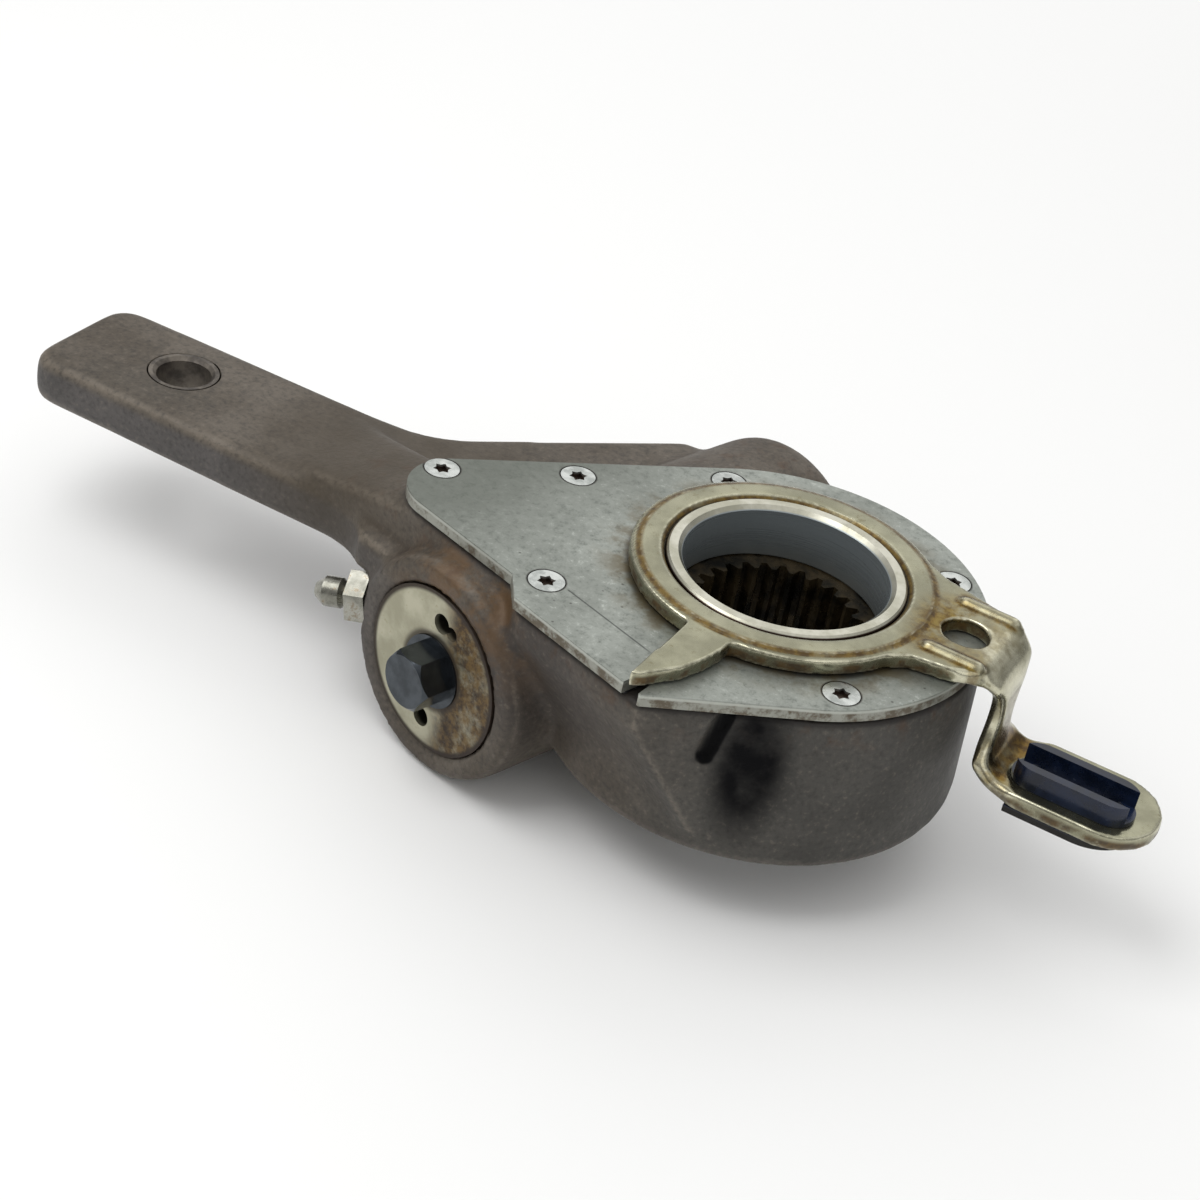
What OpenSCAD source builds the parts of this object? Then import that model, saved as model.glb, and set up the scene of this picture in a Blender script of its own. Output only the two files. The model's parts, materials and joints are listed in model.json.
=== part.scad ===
// Self-setting brake slack adjuster. Millimetres, +Z up along the spline axis, arm towards -X.
// The hub's lower face is at Z = 0. The worm side is turned by worm_skew about Z.

/* [Arm] */
// Spline axis to clevis hole
arm_length = 152.4; // [140:0.1:165]
// Arm beyond the clevis hole
arm_tail = 30.6; // [24:0.1:36]
// Width of the arm at its free end
arm_end_w = 35; // [30:0.5:38]
// Width of the arm where it meets the neck
arm_root_w = 37; // [33:0.5:42]
// Sideways shift of the arm
arm_y = -1.25; // [-3:0.05:0]
// Thickness of the arm
arm_t = 12; // [10:0.25:16]
// Underside of the arm above the hub's lower face
arm_z = 14; // [10:0.25:16]
// Corner radius at the arm's free end
arm_corner_r = 6.5; // [5:0.5:12]
// Rounding of the arm's long edges
arm_edge = 2.4; // [1:0.1:4]
// Fillet where the neck spreads to the boss's far end
far_fillet_r = 28; // [22:1:34]
// Fillet where the neck spreads to the hexagon's side
near_fillet_r = 13; // [10:0.5:16]
// Radius of the clevis pin hole
clevis_r = 6.35; // [5:0.05:7]
// Wall of the clevis bush
bush_wall = 1.75; // [1:0.05:2.5]

/* [Hub and worm places] */
// Outer radius of the round hub
hub_r = 45.4; // [44.5:0.1:47]
// Loss of hub radius from its foot to its top
hub_draft = 1.6; // [0:0.1:2]
// Height of the hub up to its machined top
hub_h = 36.9; // [36:0.1:40]
// Rounding of the hub's lower edge
hub_edge = 3; // [1:0.25:5]
// Angle between the arm and the worm's normal plane
worm_skew = 18; // [14:0.5:22]
// Spline axis to worm axis
worm_offset = 42.2; // [41.8:0.1:42.6]
// Height of the worm axis
worm_z = 10; // [9.5:0.1:10.5]
// Outer radius of the worm boss
boss_r = 25; // [23.5:0.1:27]
// Boss length on the hexagon's side
boss_near = 55; // [53:0.25:57]
// Boss length on the far side
boss_far = 52.5; // [47:0.25:55]

/* [Cover plate] */
// Radius of the plate's round end
plate_r = 43.6; // [42.5:0.1:44.2]
// Thickness of the plate
plate_t = 2.8; // [2.4:0.1:4]
// Thickness of the gasket under it
gasket_t = 0.5; // [0.3:0.05:1]
// Corner radius at the plate's tip
tip_r = 11.5; // [10:0.25:13]
// Tip centre along the plate
tip_a = -59.7; // [-62:0.1:-57]
// Tip centre towards the hexagon's side
tip_d = 37.4; // [36:0.1:39]
// Reach of the plate's wing towards the hexagon's side
wing_d = 54; // [53:0.1:56]
// Ends of the step between tip edge and wing
wing_step = [-30, -23.5]; // [-34:0.5:-18]
// End of the wing, beyond the indicator notch
wing_a = 13.4; // [12:0.1:16]
// Width of the indicator notch
notch_w = 4.8; // [3:0.1:6]
// Depth of the indicator notch
notch_depth = 7; // [4:0.25:9]
// Radius of the countersunk screw heads
screw_head_r = 3.8; // [3.2:0.1:4.2]
// Radius of the screw shanks
screw_r = 2; // [1.7:0.1:2.4]
// Length of the screws
screw_l = 11; // [9:0.5:12]
// Radius of the screws' circle on the round end
screw_circle_r = 38.2; // [37.8:0.1:38.6]

/* [Control arm] */
// Bore radius of the control hub
hub_bore_r = 21.9; // [21:0.1:22.5]
// Outer radius of the control hub
control_hub_r = 25.4; // [25:0.1:26]
// Top of the control hub's rim
control_hub_top = 44.4; // [44:0.1:45.5]
// Thickness of the control arm's sheet
sheet_t = 3.5; // [3:0.1:4]
// Outer radius of the control arm's ring
ring_r = 32.8; // [32:0.1:34]
// Outer radius of the ring's raised band
band_r = 31; // [29:0.1:31.5]
// Height of the raised band above the sheet
band_h = 0.6; // [0.3:0.1:1]
// Centre line of the foot, across
anchor_y = 6.3; // [5:0.1:8]
// Width of the anchor arm at the ring and at the foot
anchor_w = [26, 23]; // [20:0.5:30]
// Radius of the anchor hole
anchor_hole_r = 4.9; // [4:0.1:5.5]
// Anchor hole from the spline axis
anchor_hole_x = 38.7; // [38:0.1:39.5]
// Inner face of the Z-bend's web
web_x = 48.5; // [47:0.25:51]
// Outer radius of the Z-bend's curves
bend_r = 8; // [6:0.25:9]
// Width left at the web's waist
waist_w = 10; // [8:0.25:14]
// Radius of the waist's side curves
waist_r = 10; // [8:0.25:10.2]
// Top of the foot
foot_z = 19; // [17:0.25:22]
// End of the foot
foot_end_x = 88; // [84:0.5:92]
// Ends of the foot's slot
slot_x = [57, 82.5]; // [56:0.5:84]
// Width of the foot's slot
slot_w = 9.6; // [9:0.1:11]
// Wall of the slot liner
liner_t = 1.5; // [1.2:0.1:2.2]
// Height of the liner above the foot
liner_rise = 5; // [3:0.25:7]
// Reach of the pointer from the spline axis
pointer_reach = 56; // [52:0.25:58]

/* [Worm gear] */
// Teeth of the worm wheel
wheel_teeth = 22; // [22]
// Module of the worm gear
gear_m = 2.6; // [2.58:0.005:2.62]
// Face width of the worm wheel
wheel_face = 15; // [13:0.25:15.5]
// Length of the worm's thread
worm_l = 31; // [28:0.5:31]
// Number of splines
spline_n = 28; // [24:1:32]
// Radius at the bottom of the splines
spline_root_r = 19.05; // [18.6:0.05:19.5]
// Radius at the spline crests
spline_tip_r = 16.9; // [16.5:0.05:17.3]
// Top of the worm wheel's sleeve
wheel_top = 32; // [31:0.1:33]
// Radius of the worm shaft
shaft_r = 6.5; // [6:0.05:6.6]

/* [Adjuster end] */
// Radius of the threaded worm cover
worm_cover_r = 19.1; // [18.5:0.1:20]
// Thickness of the worm cover
worm_cover_t = 9.5; // [8:0.25:10]
// Radius of the shaft's collar in the cover
collar_r = 8.2; // [7.8:0.05:9]
// Across flats of the adjuster hexagon
hex_af = 12; // [11:0.1:13]
// Length of the hexagon beyond the cover
hex_l = 7.5; // [6:0.25:12]
// Turn of the hexagon as it stands
hex_turn = 0; // [0:5:60]
// Radius of the spanner holes
spanner_r = 2.3; // [2:0.1:2.6]
// Spanner holes from the shaft's axis
spanner_circle_r = 12.6; // [12.4:0.1:13.4]

/* [Setting mechanism] */
// Radius of the control disc
disc_r = 33.5; // [33:0.1:33.6]
// Wall between the control disc's bore and its notch
notch_web = 1.48; // [1.4:0.02:1.6]
// Swing of the control arm each way, in degrees
swing = 20; // [10:1:20]
// Module of the rack and pinion
pinion_m = 1; // [0.99:0.01:1.01]
// Teeth of the pinion
pinion_teeth = 18; // [18]
// Width of the rack and the pinion
rack_w = 6; // [5:0.25:6]
// Radius of the pin on the rack
rack_pin_r = 2.5; // [2:0.1:2.6]

/* [Grease nipple] */
// Across flats of the nipple's hexagon
nipple_af = 11; // [9:0.25:12]
// Length of the nipple beyond its seat
nipple_l = 12.9; // [11:0.1:15]
// Radius of the nipple's head
nipple_head_r = 3.4; // [3:0.1:3.6]

/* [Hidden] */
$fn = 48;

// Clearances
press = 0.02;     // pressed or screwed pieces of one body
running = 0.05;   // journals and slides
gap = 0.3;        // other moving faces
eps = 0.5;        // cutters run past a face
level_t = 0.01;   // thin levels that a rounded solid is spanned over

// Spline axis to the rack's line
rack_d = control_hub_r + press + notch_web + rack_pin_r + 2 * gap;

// Body
bush_r = clevis_r + bush_wall;
bush_chamfer = 0.8;
boss_lip = 1.5;
boss_crown = 4;
arm_root_l = 30;
neck_x = -98;
neck_slope = 44;
neck_l = 52;
neck_inset = 0.25;
neck_sink = 0.3;
pad_z = 13;
ramp_drop = 1;
wing_foot_d = 41;
wing_foot_z = 6;
wing_lip = 5;
groove_r = 1.9;
groove_side = 19.7;
groove_z = 26;
groove_l = 13.5;
groove_lean = 14.2;

// Cover plate and screws
plate_bottom = hub_h + gasket_t;
plate_top = plate_bottom + plate_t;
plate_inset = 0.5;
tip_edge_d = tip_d + tip_r;
wing_side = atan2(wing_d, wing_a) - acos(plate_r / norm([wing_a, wing_d]));
screw_points = [[-67.7, 36.1], [-51.5, 11.3], [-24.6, 44.4],
                polar(screw_circle_r, 207.7), polar(screw_circle_r, 299), polar(screw_circle_r, 28.7)];
screw_rim = 0.3;
screw_gap = 0.2;
notch_lean = 1.5;
prong_w = 0.4;
star_r = 2;
star_depth = 1.2;
seal_w = 2.4;
seal_h = 1.6;

// Worm gear
pressure = 20;
wheel_pitch_r = wheel_teeth * gear_m / 2;
wheel_tip_r = wheel_pitch_r + 0.9 * gear_m;
wheel_root_r = wheel_pitch_r - 1.15 * gear_m;
worm_pitch_r = worm_offset - wheel_pitch_r;
worm_tip_r = worm_pitch_r + 0.9 * gear_m;
worm_root_r = worm_pitch_r - 1.15 * gear_m;
worm_pitch = PI * gear_m;
worm_turn = 360 * worm_l / worm_pitch;
lead_angle = atan(worm_pitch / (2 * PI * worm_pitch_r));
flank_play = 0.14;
wheel_sleeve_r = 23.4;
wheel_foot_r = 23.9;
wheel_low = worm_z - wheel_face / 2;
wheel_high = worm_z + wheel_face / 2;
wheel_seal_w = 2;
wheel_seal_h = 1.2;
wheel_seal_z = 0.5;

// Worm bore, measured along the shaft towards the hexagon
worm_bore_r = worm_tip_r + 0.6;
cover_inner = boss_near - worm_cover_t;
cover_chamfer = 0.8;
spanner_depth = 5;
adjuster_seal_s = cover_inner + 1;
adjuster_seal_w = 1.5;
adjuster_seal_h = 2;
plug_t = 8;
plug_r = worm_bore_r + 1.4;
plug_inner = -boss_far + plug_t;
plug_bearing = 4.5;
washer_t = 2.6;
clutch_r = 12;
clutch_flange_t = 3.5;
clutch_far = worm_l / 2 + press;
clutch_near = clutch_far + 7;
pinion_hub_r = 8.6;
pinion_w = rack_w + 1;
pinion_far = rack_d - pinion_w / 2;
pinion_near = rack_d + pinion_w / 2;
collar_inner = pinion_near + gap + washer_t + press;
collar_proud = 0.4;
hex_chamfer = 1;

// Coil springs
coil_steps = 24;
coil_sides = 8;
spring_wire_r = 2.3;
spring_mean_r = 11.5;
wrap_wire_r = 0.6;
wrap_mean_r = (pinion_hub_r + press) / cos(180 / coil_steps) + wrap_wire_r;

// Setting mechanism
disc_z = 24.7;
disc_top = hub_h - gap;
pin_top = disc_z + 6;
pin_play = 0.7;
pinion_pitch_r = pinion_m * pinion_teeth / 2;
rack_play = 0.1;
rack_pitch_z = worm_z + pinion_pitch_r;
rack_tip_z = rack_pitch_z - 0.9 * pinion_m;
rack_root_z = rack_pitch_z + 1.15 * pinion_m;
rack_top = disc_z - gap;
rack_travel = rack_d * swing * PI / 180;
rack_teeth = 10;
rack_pitch = PI * pinion_m;
rack_tail = -worm_offset - (rack_teeth / 2 + 0.3) * rack_pitch;
rack_nose = rack_pin_r + 1;

// Control arm
sheet_z = plate_top + gap;
sheet_top = sheet_z + sheet_t;
ring_bore_r = control_hub_r + press;
band_bevel = 1.2;
rim_chamfer = 1;
foot_r = anchor_w[1] / 2;
upper_y = anchor_y - 2.6;
hole_y = upper_y + 0.8;
anchor_span = ring_r + anchor_y;
waist_y = anchor_y - 1;
waist_z = 30;
rib_y = 10.2;
rib_r = 1.6;
slot_y = anchor_y - 2.8;
liner_flange_t = 1.6;
liner_flange_inset = 0.4;
liner_lip = 0.6;

// Grease nipple
nipple_a = -worm_offset - boss_r + 0.8;
nipple_d = 48.5;
nipple_z = worm_z + 1;
nipple_seat = 2.6;
nipple_stub_r = 4;
nipple_stub_l = 2.5;
nipple_hex_t = 4.6;
nipple_pad_r = 6.2;
nipple_port_r = 1.5;
nipple_ball_r = 1.2;

function polar(r, t) = [r * cos(t), r * sin(t)];
function arc(c, r, t0, t1, n) = [for (i = [0:n]) c + polar(r, t0 + (t1 - t0) * i / n)];
function skew_point(a, y) = [a * cos(worm_skew) + y * sin(worm_skew), y * cos(worm_skew) - a * sin(worm_skew)];
function involute(t) = tan(t) * 180 / PI - t;
function base_r(m, n) = m * n / 2 * cos(pressure);
function tooth_half_angle(m, n, r) =
    90 / n + involute(pressure) - involute(acos(min(1, base_r(m, n) / r)));
function turned(length, r) = length / r * 180 / PI;

// Plan of the worm side: +x along the plate away from the arm, -y towards the hexagon.
module skewed() {
    rotate([0, 0, -worm_skew]) children();
}

// Along the shaft: z towards the hexagon, x towards the spline axis, y up.
module on_shaft(s = 0) {
    skewed() translate([-worm_offset, -s, worm_z]) rotate([90, 0, 0]) children();
}

// Grease nipple's axis: z outwards, in the corner between arm and boss.
module on_nipple() {
    skewed() translate([nipple_a, -nipple_d, nipple_z]) rotate([0, 0, 210]) rotate([0, 100, 0]) children();
}

module at_screws() {
    for (p = screw_points) skewed() translate([p[0], -p[1], plate_top]) children();
}

module ring(r_out, r_in, h) {
    difference() {
        cylinder(r = r_out, h = h);
        translate([0, 0, -eps]) cylinder(r = r_in, h = h + 2 * eps);
    }
}

// Round wire wound on a helix. The wire's centre starts at height 0.
module coil(mean_r, wire_r, turns, length) {
    last = turns * coil_steps;
    points = [for (i = [0:last]) each [for (k = [0:coil_sides - 1])
        let (t = 360 * i / coil_steps, q = 360 * k / coil_sides, r = mean_r + wire_r * cos(q))
        [r * cos(t), r * sin(t), length * i / last + wire_r * sin(q)]]];
    sides = [for (i = [0:last - 1]) for (k = [0:coil_sides - 1])
        let (n = (k + 1) % coil_sides, b = i * coil_sides)
        [b + k, b + n, b + coil_sides + n, b + coil_sides + k]];
    first_cap = [for (k = [coil_sides - 1:-1:0]) k];
    last_cap = [for (k = [0:coil_sides - 1]) last * coil_sides + k];
    polyhedron(points = points, faces = concat([first_cap], sides, [last_cap]));
}

// Round end, tip and wing of the cover, in the plan of the worm side.
// The straight edges run tangent to the round end.
module plate_outline(inset = 0, with_wing = true) {
    r = plate_r - inset;
    t = tip_r - inset;
    tip = [tip_a, -tip_d];
    far = -atan2(tip_d, tip_a) - acos((plate_r - tip_r) / norm(tip));
    edge = inset - tip_edge_d;
    wing = inset - wing_d;
    wing_corners = [[wing_step[1] + inset, wing], [wing_a - inset, wing], polar(r - press, -wing_side)];
    circle(r = r);
    translate(tip) circle(r = t);
    polygon(concat([[0, 0], polar(r - press, far), tip + polar(t - press, far), tip, [tip_a, edge + press],
                    [wing_step[0] + inset, edge]], with_wing ? wing_corners : [polar(r - press, -110)]));
}

module indicator_notch() {
    translate([wing_a - notch_w, -wing_d - eps])
        polygon([[0, 0], [notch_w - prong_w, 0], [notch_w - prong_w - notch_lean, notch_depth], [0, notch_depth]]);
}

// Hub of the body, turned with a rounded lower edge.
module hub_form() {
    rotate_extrude() polygon(concat([[0, 0]],
        arc([hub_r - hub_edge, hub_edge], hub_edge, -90, 0, 6), [[hub_r - hub_draft, hub_h], [0, hub_h]]));
}

module boss_form() {
    on_shaft() rotate_extrude() polygon(concat([[0, -boss_far]],
        arc([boss_r - boss_crown, -boss_far + boss_crown], boss_crown, -90, 0, 6),
        [[boss_r, boss_near - boss_lip], [boss_r - boss_lip, boss_near], [0, boss_near]]));
}

// One level of the tapered arm with rounded end corners, drawn smaller by inset.
module arm_level(inset, z) {
    end_x = -arm_length - arm_tail + arm_corner_r;
    translate([0, 0, z]) linear_extrude(height = level_t) {
        for (s = [-1, 1])
            translate([end_x, arm_y + s * (arm_end_w / 2 - arm_corner_r)]) circle(r = arm_corner_r - inset, $fn = 32);
        translate([neck_x - 4, arm_y - arm_root_w / 2 + inset]) square([arm_root_l, arm_root_w - 2 * inset]);
    }
}

// The arm's long edges are rounded by stacking levels along a quarter circle.
module arm_form() {
    hull() for (t = [0:30:90]) {
        arm_level(arm_edge * (1 - cos(t)), arm_z + arm_edge * (1 - sin(t)));
        arm_level(arm_edge * (1 - cos(t)), arm_z + arm_t - arm_edge * (1 - sin(t)) - level_t);
    }
}

// Web that spreads from the arm to the full length of the worm boss.
module neck_form() {
    far_y = arm_y + arm_root_w / 2;
    near_y = arm_y - arm_root_w / 2;
    far_arc = arc([neck_x - 10, far_y + far_fillet_r - neck_sink], far_fillet_r, neck_slope - 90, -90, 8);
    translate([0, 0, arm_z + neck_inset]) linear_extrude(height = arm_t - 2 * neck_inset) polygon(concat(
        [[neck_x - 4, near_y + 2]],
        arc([neck_x, near_y - near_fillet_r + neck_sink], near_fillet_r, 90, 25, 6),
        [skew_point(-worm_offset, 4 - boss_near), [0, 0], skew_point(-worm_offset, boss_far - 8),
         far_arc[0] + polar(neck_l, neck_slope)],
        far_arc, [[neck_x - 10, far_y - 2]]));
}

// Raised ground under the plate's tip, running down to the arm.
module ramp_form() {
    hull() {
        skewed() translate([tip_a, -tip_d, pad_z + ramp_drop])
            cylinder(r = tip_r - 2 * plate_inset, h = hub_h - 2 * ramp_drop - pad_z, $fn = 32);
        translate([neck_x - 16, arm_y - arm_root_w / 2 + 2 * arm_edge, arm_z + arm_edge])
            cube([1, arm_root_w - 4 * arm_edge, arm_t - arm_edge - 2 * neck_inset]);
    }
}

// Ground under the plate's wing, with a wall that slopes in towards the hub's foot.
module wing_seat() {
    skewed() intersection() {
        linear_extrude(height = hub_h) plate_outline(plate_inset);
        translate([wing_step[0] - 8, 0, 0]) rotate([90, 0, 90]) linear_extrude(height = wing_a - wing_step[0] + 24)
            polygon([[-20, wing_foot_z], [-wing_foot_d, wing_foot_z], [-wing_d, hub_h - wing_lip], [-wing_d, hub_h],
                     [-20, hub_h]]);
    }
}

module housing_form() {
    hub_form();
    boss_form();
    arm_form();
    neck_form();
    ramp_form();
    wing_seat();
    skewed() translate([0, 0, pad_z]) linear_extrude(height = hub_h - pad_z)
        plate_outline(plate_inset, false);
    on_nipple() translate([0, 0, -2 * nipple_stub_l]) cylinder(r = nipple_pad_r, h = 2 * nipple_stub_l + nipple_seat);
}

module wheel_chamber() {
    translate([0, 0, -eps]) cylinder(r = wheel_foot_r + running, h = hub_h);
    translate([0, 0, wheel_seal_z]) cylinder(r = wheel_foot_r + wheel_seal_w + press, h = wheel_seal_h);
    translate([0, 0, wheel_low - gap]) cylinder(r = wheel_tip_r + 2 * gap, h = hub_h);
    translate([0, 0, disc_z - gap]) cylinder(r = disc_r + 2 * gap, h = hub_h);
}

module worm_chamber() {
    on_shaft(plug_inner - eps) cylinder(r = worm_bore_r, h = cover_inner - plug_inner + 2 * eps);
    on_shaft(-boss_far - eps) cylinder(r = plug_r + press, h = plug_t + eps);
    on_shaft(cover_inner) cylinder(r = worm_cover_r + press, h = worm_cover_t + eps);
    on_shaft(boss_near - cover_chamfer)
        cylinder(r1 = worm_cover_r, r2 = worm_cover_r + cover_chamfer + press, h = cover_chamfer + press);
}

// The rack's slide, and the room its pin needs beside the disc's chamber.
module rack_channel() {
    half = rack_w / 2 + running;
    tail = rack_tail - rack_travel - gap;
    pin_end = rack_nose + rack_travel + gap;
    skewed() {
        translate([tail, -rack_d - half, rack_tip_z - gap])
            cube([pin_end - tail, 2 * half, rack_top + 2.5 * gap - rack_tip_z]);
        translate([-pin_end, -rack_d - half - gap, rack_top - gap])
            cube([2 * pin_end, 2 * half, pin_top + 2 * gap - rack_top]);
    }
}

// Drip groove on the shoulder beside the wing.
module shoulder_groove() {
    skewed() rotate([0, 0, -wing_side]) translate([plate_r - plate_inset, -groove_side, groove_z])
        rotate([-groove_lean, 0, 0]) {
            cylinder(r = groove_r, h = groove_l);
            sphere(r = groove_r);
        }
}

module clevis_hole() {
    translate([-arm_length, 0, arm_z - eps]) cylinder(r = bush_r + press, h = arm_t + 2 * eps);
    translate([0, 0, arm_z]) for (z = [0, arm_t])
        translate([-arm_length, 0, z]) cylinder(r = bush_r + 0.6, h = 0.6, center = true);
}

module nipple_port() {
    on_nipple() {
        translate([0, 0, nipple_seat - nipple_stub_l]) cylinder(r = nipple_stub_r + press, h = nipple_stub_l + eps);
        translate([0, 0, -14]) cylinder(r = nipple_port_r, h = 14 + nipple_seat);
        translate([0, 0, nipple_seat]) cylinder(r = nipple_af / 2 / cos(30) + gap, h = nipple_l);
    }
}

module housing() {
    color("#625c54") difference() {
        housing_form();
        clevis_hole();
        wheel_chamber();
        worm_chamber();
        rack_channel();
        shoulder_groove();
        nipple_port();
        at_screws() translate([0, 0, -screw_l - eps]) cylinder(r = screw_r + press, h = screw_l);
    }
}

module clevis_bush() {
    color("#75706a") translate([-arm_length, 0, arm_z]) rotate_extrude()
        polygon([[clevis_r + bush_chamfer, 0], [bush_r, 0], [bush_r, arm_t], [clevis_r + bush_chamfer, arm_t],
                 [clevis_r, arm_t - bush_chamfer], [clevis_r, bush_chamfer]]);
}

// A countersunk screw hanging from the plate's top, or its hole when grown.
module screw_form(grow = 0) {
    head = screw_head_r + grow;
    shank = screw_r + grow;
    rotate_extrude() polygon([[0, grow], [head, grow], [head, -screw_rim], [shank, -screw_rim - head + shank],
                              [shank, -screw_l], [0, -screw_l]]);
}

module cover_plate() {
    color("#9aa09c") difference() {
        skewed() translate([0, 0, plate_bottom]) linear_extrude(height = plate_t) difference() {
            plate_outline();
            indicator_notch();
        }
        translate([0, 0, plate_bottom - eps]) cylinder(r = control_hub_r + 2 * gap, h = plate_t + 2 * eps);
        translate([0, 0, plate_bottom - eps]) cylinder(r = control_hub_r + seal_w + press, h = seal_h + eps);
        at_screws() screw_form(screw_gap);
    }
}

module cover_gasket() {
    color("#26282a") difference() {
        skewed() translate([0, 0, hub_h]) linear_extrude(height = gasket_t) difference() {
            plate_outline(2 * plate_inset);
            indicator_notch();
            circle(r = disc_r + 2 * gap);
        }
        at_screws() translate([0, 0, -screw_l]) cylinder(r = screw_r + press, h = screw_l);
    }
}

module cover_screws() {
    color("#b9bcb8") at_screws() difference() {
        screw_form();
        translate([0, 0, -star_depth]) linear_extrude(height = star_depth + eps)
            polygon([for (i = [0:11]) polar(i % 2 == 0 ? star_r : 0.68 * star_r, 30 * i)]);
    }
}

module hub_seal() {
    color("#1d1d1f") translate([0, 0, plate_bottom]) ring(control_hub_r + seal_w, control_hub_r + running, seal_h);
}

module wheel_seal() {
    color("#1d1d1f") translate([0, 0, wheel_seal_z])
        ring(wheel_foot_r + wheel_seal_w, wheel_foot_r + running, wheel_seal_h);
}

// Threaded disc round the hexagon, with two spanner holes and a staking mark beside the upper one.
module worm_cover() {
    color("#b0aa90") difference() {
        on_shaft(cover_inner) ring(worm_cover_r, collar_r + running, worm_cover_t);
        on_shaft(adjuster_seal_s) cylinder(r = collar_r + adjuster_seal_w + press, h = adjuster_seal_h);
        for (t = [71, 86, 265])
            on_shaft(boss_near - spanner_depth) rotate([0, 0, t]) translate([spanner_circle_r, 0, 0])
                cylinder(r = t == 71 ? 0.7 * spanner_r : spanner_r, h = spanner_depth + eps);
    }
}

module adjuster_seal() {
    color("#1d1d1f") on_shaft(adjuster_seal_s) ring(collar_r + adjuster_seal_w, collar_r + running, adjuster_seal_h);
}

module rear_plug() {
    color("#6d6862") on_shaft(-boss_far) difference() {
        cylinder(r = plug_r, h = plug_t);
        translate([0, 0, plug_t - plug_bearing]) cylinder(r = shaft_r + running, h = plug_bearing + eps);
        for (s = [-1, 1]) translate([s * 0.65 * plug_r, 0, -eps]) cylinder(r = spanner_r, h = plug_t / 2);
    }
}

module worm_spring() {
    room = -worm_l / 2 - press - washer_t - gap - plug_inner - press;
    color("#4c4a48") on_shaft(plug_inner + press + spring_wire_r)
        coil(spring_mean_r, spring_wire_r, 3.5, room - 2 * spring_wire_r);
}

module grease_nipple() {
    head_z = nipple_hex_t + 2.4;
    color("#b4b0a4") on_nipple() translate([0, 0, nipple_seat]) difference() {
        union() {
            translate([0, 0, press - nipple_stub_l]) cylinder(r = nipple_stub_r, h = nipple_stub_l + eps);
            translate([0, 0, press]) cylinder(r = nipple_af / 2 / cos(30), h = nipple_hex_t, $fn = 6);
            rotate_extrude() polygon([[0, eps], [nipple_head_r, eps], [nipple_head_r, nipple_hex_t + 0.6],
                                      [0.7 * nipple_head_r, nipple_hex_t + 1.2], [nipple_head_r, head_z],
                                      [nipple_head_r, nipple_l - 2.2], [nipple_ball_r + 0.5, nipple_l], [0, nipple_l]]);
        }
        translate([0, 0, nipple_l - 2 * nipple_ball_r - press])
            cylinder(r = nipple_ball_r + press, h = 2 * nipple_ball_r + eps);
    }
}

module nipple_ball() {
    color("#8a8a88") on_nipple() translate([0, 0, nipple_seat + nipple_l - nipple_ball_r]) sphere(r = nipple_ball_r);
}

// Side profile of the anchor arm: sheet level, down the web, out along the foot.
module sheet_profile() {
    inner = bend_r - sheet_t;
    top = [web_x + sheet_t - bend_r, sheet_top - bend_r];
    low = [web_x + bend_r, foot_z + inner];
    polygon(concat([[0, sheet_top]], arc(top, bend_r, 90, 0, 8), arc(low, inner, 180, 270, 8),
                   [[foot_end_x + eps, foot_z], [foot_end_x + eps, foot_z - sheet_t]],
                   arc(low, bend_r, 270, 180, 8), arc(top, inner, 0, 90, 8), [[0, sheet_z]]));
}

module anchor_plan() {
    foot_x = foot_end_x - foot_r;
    bend_x = web_x + sheet_t;
    near = upper_y - anchor_w[0] / 2;
    far = upper_y + anchor_w[0] / 2;
    polygon([[18, 26], [28, far + 4], [bend_x - bend_r, far], [web_x, far - 0.5], [bend_x, far - 1],
             [bend_x + bend_r, anchor_y + foot_r], [foot_x, anchor_y + foot_r], [foot_x, anchor_y - foot_r],
             [bend_x + bend_r, anchor_y - foot_r], [bend_x, anchor_y - foot_r + 1], [web_x, near + 4.5],
             [web_x - 2, near + 1.5], [bend_x - bend_r, near], [33, near - 2], [22, -21]]);
    translate([foot_x, anchor_y]) circle(r = foot_r);
}

// Curves that narrow the web from both sides.
module waist_cut() {
    for (s = [-1, 1])
        translate([web_x - sheet_t, waist_y + s * (waist_w / 2 + waist_r), waist_z])
            rotate([0, 90, 0]) cylinder(r = waist_r, h = 3 * sheet_t);
}

module pointer_plan() {
    tip = polar(pointer_reach, -97.5);
    polygon([polar(ring_r - 1, -102), tip, tip + [2.2, 1.6], [0.1, -46.5], [2.2, -40.5], [3.2, -36],
             polar(ring_r - 1, -84), polar(control_hub_r + 2, -95)]);
}

// Pressed rib along the anchor arm, half sunk in the sheet.
module rib(y) {
    x = ring_r + 1.7;
    l = web_x - 3 - x;
    translate([x, y, sheet_top - 0.4]) {
        rotate([0, 90, 0]) cylinder(r = rib_r, h = l);
        sphere(r = rib_r);
        translate([l, 0, 0]) sphere(r = rib_r);
    }
}

module slot_plan(r) {
    x0 = slot_x[0] + slot_w / 2;
    x1 = slot_x[1] - slot_w / 2;
    for (x = [x0, x1]) translate([x, slot_y]) circle(r = r);
    translate([x0, slot_y - r]) square([x1 - x0, 2 * r]);
}

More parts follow.
